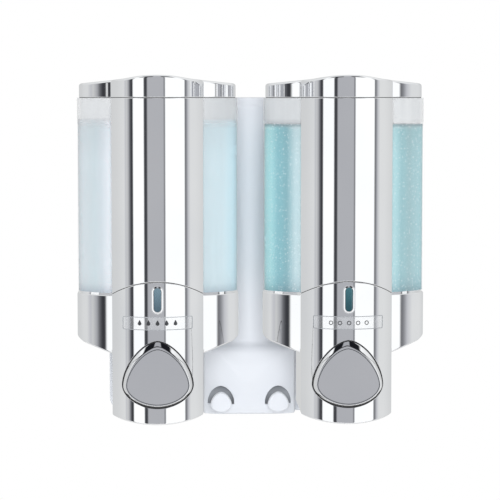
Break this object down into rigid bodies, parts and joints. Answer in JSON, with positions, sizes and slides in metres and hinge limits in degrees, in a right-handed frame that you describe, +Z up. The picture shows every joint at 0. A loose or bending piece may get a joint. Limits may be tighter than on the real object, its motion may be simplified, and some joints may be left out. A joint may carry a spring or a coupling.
{
  "type": "wall mounted soap dispenser",
  "caption": "Wall plate with twin refillable pump dispensers: chromed columns and lids, clear refill chambers, push buttons, level windows and small hooks.",
  "frame": {"origin": "centre of the wall plate's back face, on the wall plane", "axes": "+X to the right, +Y into the wall, +Z up; the front faces -Y"},
  "size_m": [0.2076, 0.0823, 0.2069],
  "materials": {
    "white_plastic": "gloss",
    "chromed_plastic": "polished",
    "clear_plastic": "gloss",
    "silicone": "satin",
    "black_rubber": "matte",
    "steel": "satin",
    "tape": "matte"
  },
  "bodies": {
    "plate": {"wall_plate": "white_plastic", "tape_pad_left": "tape", "tape_pad_right": "tape"},
    "left_unit": {"left_chamber": "clear_plastic", "left_hanger": "white_plastic", "left_lid_pin": "steel", "left_front_cover": "chromed_plastic", "left_collar": "chromed_plastic", "left_housing": "chromed_plastic", "left_window_bezel": "chromed_plastic", "left_window_lens": "clear_plastic", "left_label": "clear_plastic", "left_pump_body": "white_plastic", "left_pump_bulb": "silicone", "left_bulb_ring": "white_plastic", "left_inlet_valve": "silicone", "left_outlet_valve": "silicone", "left_nozzle": "white_plastic", "left_neck_seal": "black_rubber"},
    "left_cap": {"left_lid": "chromed_plastic"},
    "left_key": {"left_button": "chromed_plastic"},
    "right_unit": {"right_chamber": "clear_plastic", "right_hanger": "white_plastic", "right_lid_pin": "steel", "right_front_cover": "chromed_plastic", "right_collar": "chromed_plastic", "right_housing": "chromed_plastic", "right_window_bezel": "chromed_plastic", "right_window_lens": "clear_plastic", "right_label": "clear_plastic", "right_pump_body": "white_plastic", "right_pump_bulb": "silicone", "right_bulb_ring": "white_plastic", "right_inlet_valve": "silicone", "right_outlet_valve": "silicone", "right_nozzle": "white_plastic", "right_neck_seal": "black_rubber"},
    "right_cap": {"right_lid": "chromed_plastic"},
    "right_key": {"right_button": "chromed_plastic"}
  },
  "joints": [
    {"name": "left_unit_lift", "type": "slide", "parent": "plate", "child": "left_unit", "axis": [0, 0, 1], "range_m": [0, 0.022]},
    {"name": "left_lid_hinge", "type": "hinge", "parent": "left_unit", "child": "left_cap", "pos_m": [-0.05565, -0.0145, 0.099], "axis": [-1, 0, 0], "range_deg": [0, 90]},
    {"name": "left_button_press", "type": "slide", "parent": "left_unit", "child": "left_key", "axis": [0, 1, 0], "range_m": [0, 0.006], "stiffness_N_per_m": 500, "deforming": ["left_pump_bulb"]},
    {"name": "right_unit_lift", "type": "slide", "parent": "plate", "child": "right_unit", "axis": [0, 0, 1], "range_m": [0, 0.022]},
    {"name": "right_lid_hinge", "type": "hinge", "parent": "right_unit", "child": "right_cap", "pos_m": [0.05565, -0.0145, 0.099], "axis": [-1, 0, 0], "range_deg": [0, 90]},
    {"name": "right_button_press", "type": "slide", "parent": "right_unit", "child": "right_key", "axis": [0, 1, 0], "range_m": [0, 0.006], "stiffness_N_per_m": 500, "deforming": ["right_pump_bulb"]}
  ]
}
